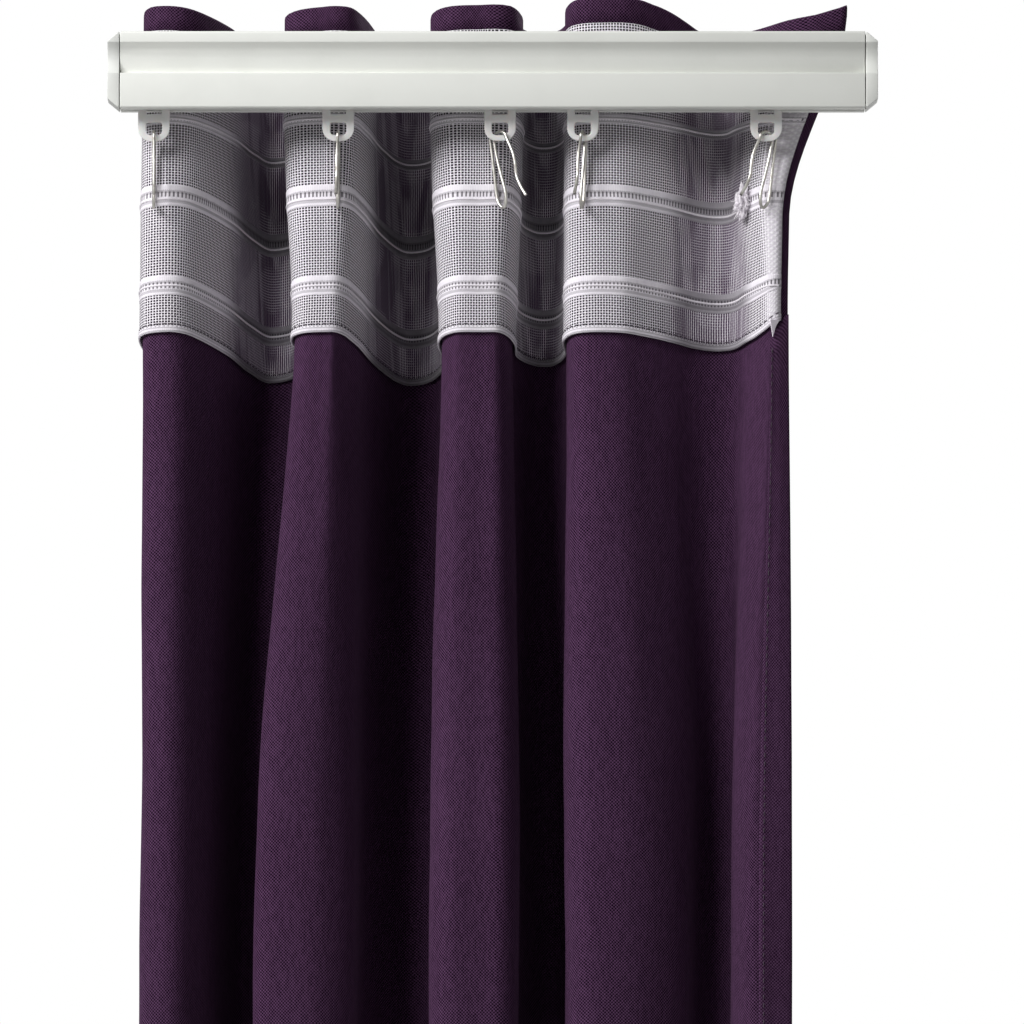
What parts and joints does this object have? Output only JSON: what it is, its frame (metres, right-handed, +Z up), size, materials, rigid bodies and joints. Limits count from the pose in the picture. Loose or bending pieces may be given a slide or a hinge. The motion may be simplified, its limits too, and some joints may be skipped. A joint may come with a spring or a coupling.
{
  "type": "curtain panel on track",
  "caption": "Pleated woven curtain panel with a net heading tape, hung by sprung wire hooks from gliders that run in a short length of ceiling track.",
  "frame": {"origin": "middle of the track's flat top face, where it is screwed up", "axes": "+X along the track to the side where the curtain ends, +Y into the room, away from the heading tape, +Z up"},
  "size_m": [0.2782, 0.1134, 1.3702],
  "materials": {
    "rail": "satin",
    "cap": "matte",
    "glider": "satin",
    "wire": "satin",
    "cloth": "matte",
    "tape": "matte",
    "cord": "matte"
  },
  "bodies": {
    "track": {"track_rail": "rail", "end_cap_left": "cap", "end_cap_right": "cap"},
    "carrier_1": {"glider_1": "glider"},
    "carrier_2": {"glider_2": "glider"},
    "carrier_3": {"glider_3": "glider"},
    "carrier_4": {"glider_4": "glider"},
    "carrier_5": {"glider_5": "glider"},
    "section_1": {"hook_1": "wire", "curtain_fold_1": "cloth", "heading_tape_1": "tape", "bottom_hem_1": "cloth", "draw_cord_1": "cord", "side_hem_left": "cloth"},
    "section_2": {"hook_2": "wire", "curtain_fold_2": "cloth", "heading_tape_2": "tape", "bottom_hem_2": "cloth", "draw_cord_2": "cord"},
    "section_3": {"hook_3": "wire", "curtain_fold_3": "cloth", "heading_tape_3": "tape", "bottom_hem_3": "cloth", "draw_cord_3": "cord"},
    "section_4": {"hook_4": "wire", "curtain_fold_4": "cloth", "heading_tape_4": "tape", "bottom_hem_4": "cloth", "draw_cord_4": "cord"},
    "section_5": {"hook_5": "wire", "curtain_fold_5": "cloth", "heading_tape_5": "tape", "bottom_hem_5": "cloth", "draw_cord_5": "cord", "side_hem_right": "cloth", "cord_knot": "cord"}
  },
  "joints": [
    {"name": "curtain_slide", "type": "slide", "parent": "track", "child": "carrier_1", "axis": [1, 0, 0], "range_m": [-0.0025, 0.008]},
    {"name": "curtain_swing", "type": "hinge", "parent": "carrier_1", "child": "section_1", "pos_m": [-0.1224, 0, -0.03815], "axis": [1, 0, 0], "range_deg": [-10, 3.5]},
    {"name": "curtain_draw", "type": "slide", "parent": "section_1", "child": "section_5", "axis": [1, 0, 0], "range_m": [0, 0.018]},
    {"name": "fold_2_draw", "type": "slide", "parent": "section_1", "child": "section_2", "axis": [1, 0, 0], "range_m": [0, 0.018]},
    {"name": "fold_3_draw", "type": "slide", "parent": "section_1", "child": "section_3", "axis": [1, 0, 0], "range_m": [0, 0.018]},
    {"name": "fold_4_draw", "type": "slide", "parent": "section_1", "child": "section_4", "axis": [1, 0, 0], "range_m": [0, 0.018]},
    {"name": "glider_2_draw", "type": "slide", "parent": "carrier_1", "child": "carrier_2", "axis": [1, 0, 0], "range_m": [0, 0.018]},
    {"name": "glider_3_draw", "type": "slide", "parent": "carrier_1", "child": "carrier_3", "axis": [1, 0, 0], "range_m": [0, 0.018]},
    {"name": "glider_4_draw", "type": "slide", "parent": "carrier_1", "child": "carrier_4", "axis": [1, 0, 0], "range_m": [0, 0.018]},
    {"name": "glider_5_draw", "type": "slide", "parent": "carrier_1", "child": "carrier_5", "axis": [1, 0, 0], "range_m": [0, 0.018]}
  ],
  "couplings": [
    {"joint": "fold_2_draw", "follows": "curtain_draw", "ratio": 0.2173},
    {"joint": "fold_3_draw", "follows": "curtain_draw", "ratio": 0.5977},
    {"joint": "fold_4_draw", "follows": "curtain_draw", "ratio": 0.7847},
    {"joint": "glider_2_draw", "follows": "curtain_draw", "ratio": 0.2173},
    {"joint": "glider_3_draw", "follows": "curtain_draw", "ratio": 0.5977},
    {"joint": "glider_4_draw", "follows": "curtain_draw", "ratio": 0.7847},
    {"joint": "glider_5_draw", "follows": "curtain_draw", "ratio": 1}
  ]
}
